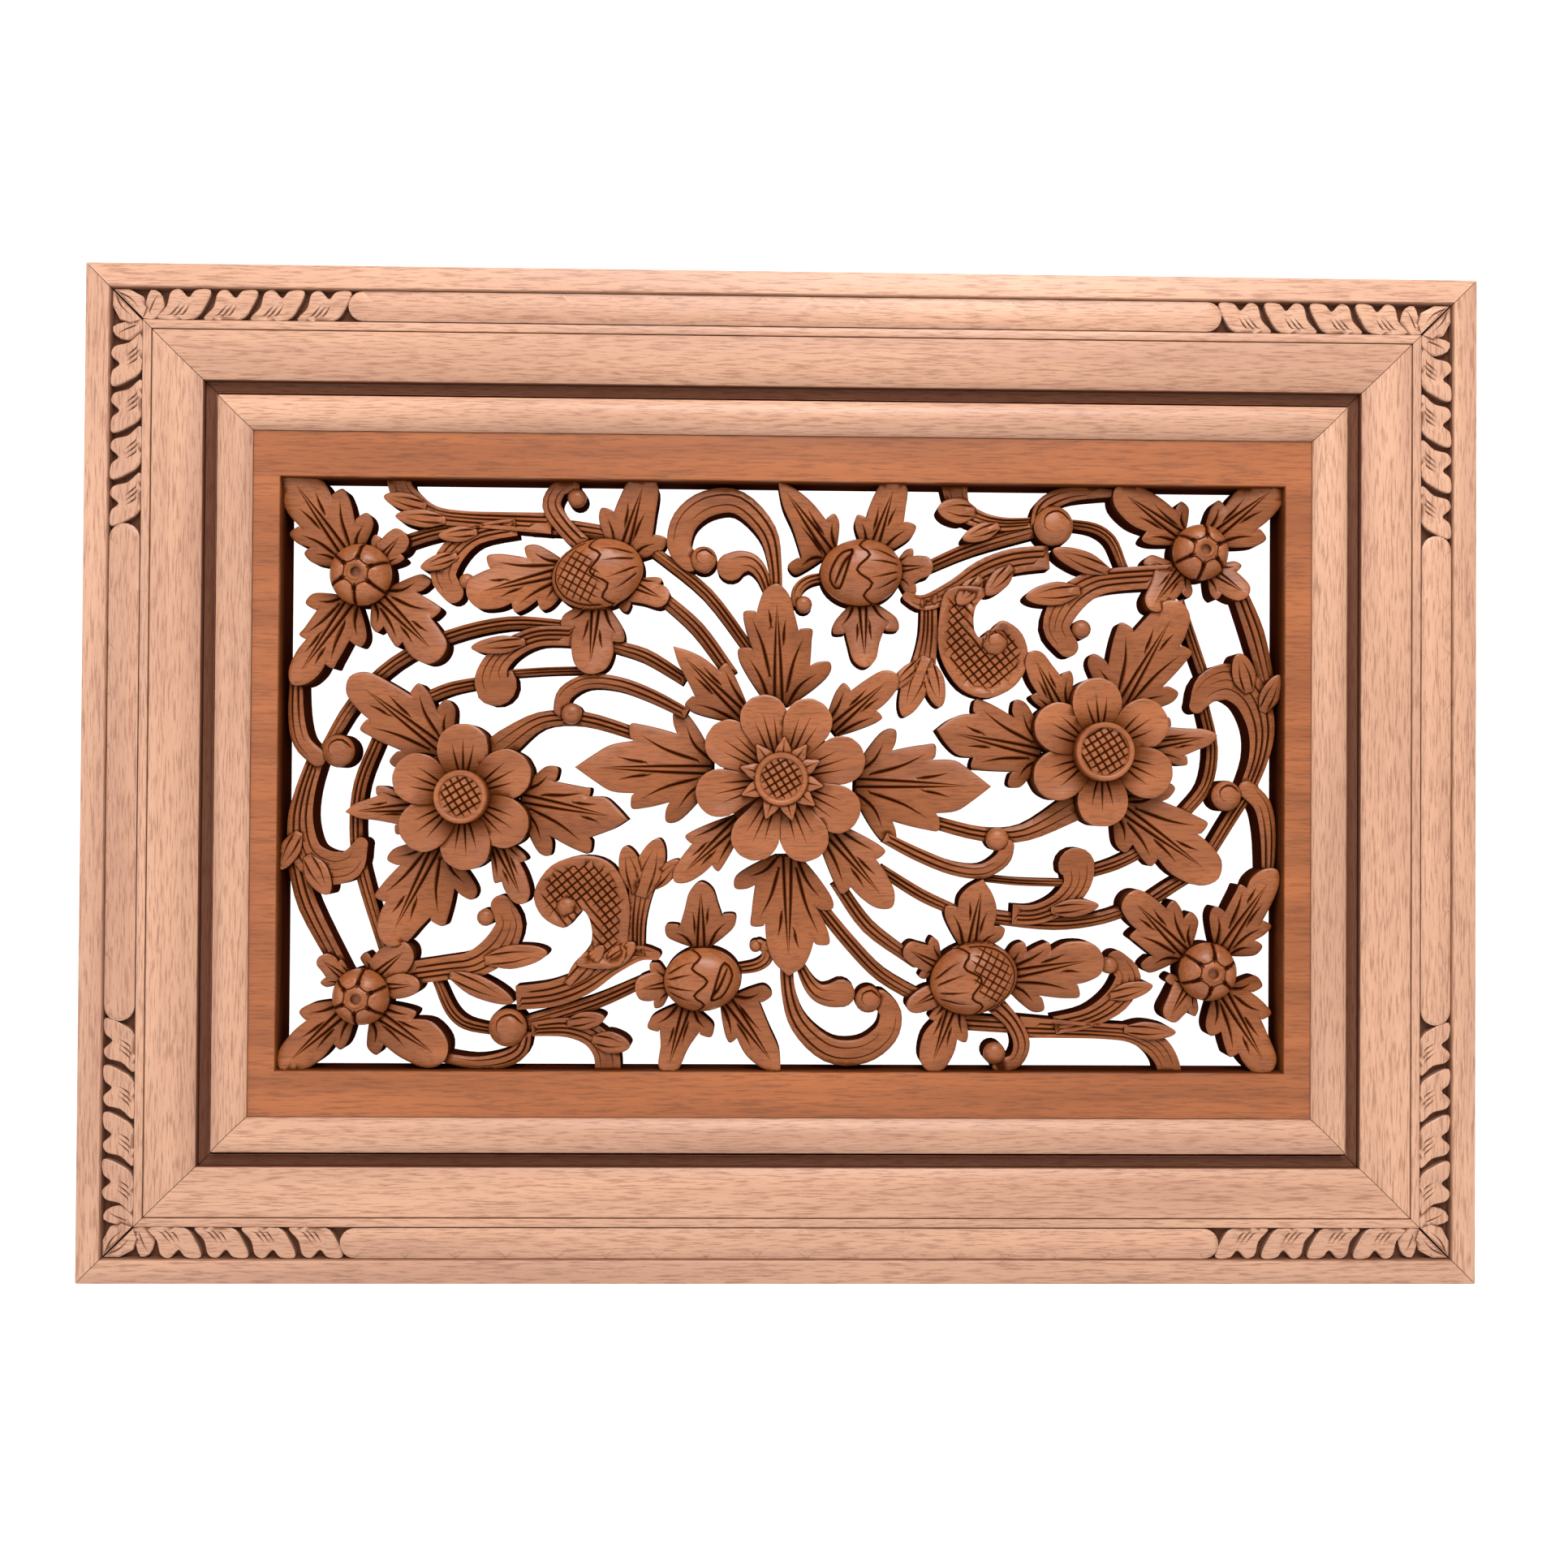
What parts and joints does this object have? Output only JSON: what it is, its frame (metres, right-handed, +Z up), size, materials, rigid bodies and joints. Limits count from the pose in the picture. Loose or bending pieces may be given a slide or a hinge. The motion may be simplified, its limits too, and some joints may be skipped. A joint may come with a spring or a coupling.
{
  "type": "carved wall panel",
  "caption": "Framed wooden wall panel with a pierced floral relief of flowers, buds, berries, lobed leaves and scrolls, made to hang on a wall.",
  "frame": {"origin": "on the wall side of the panel, at the middle of the flat back of the top rail, where a hanger is fixed", "axes": "+Z up, +X to the right as the front is looked at, the carved front faces -Y and the flat back lies in the plane Y = 0"},
  "size_m": [0.7, 0.03, 0.508],
  "materials": {
    "carved_wood": "satin",
    "rail_wood": "satin",
    "bead_wood": "satin"
  },
  "bodies": {
    "root": {"carved_panel": "carved_wood", "top_rail": "rail_wood", "bottom_rail": "rail_wood", "left_stile": "rail_wood", "right_stile": "rail_wood", "top_bead": "bead_wood", "bottom_bead": "bead_wood", "left_bead": "bead_wood", "right_bead": "bead_wood"}
  },
  "joints": []
}
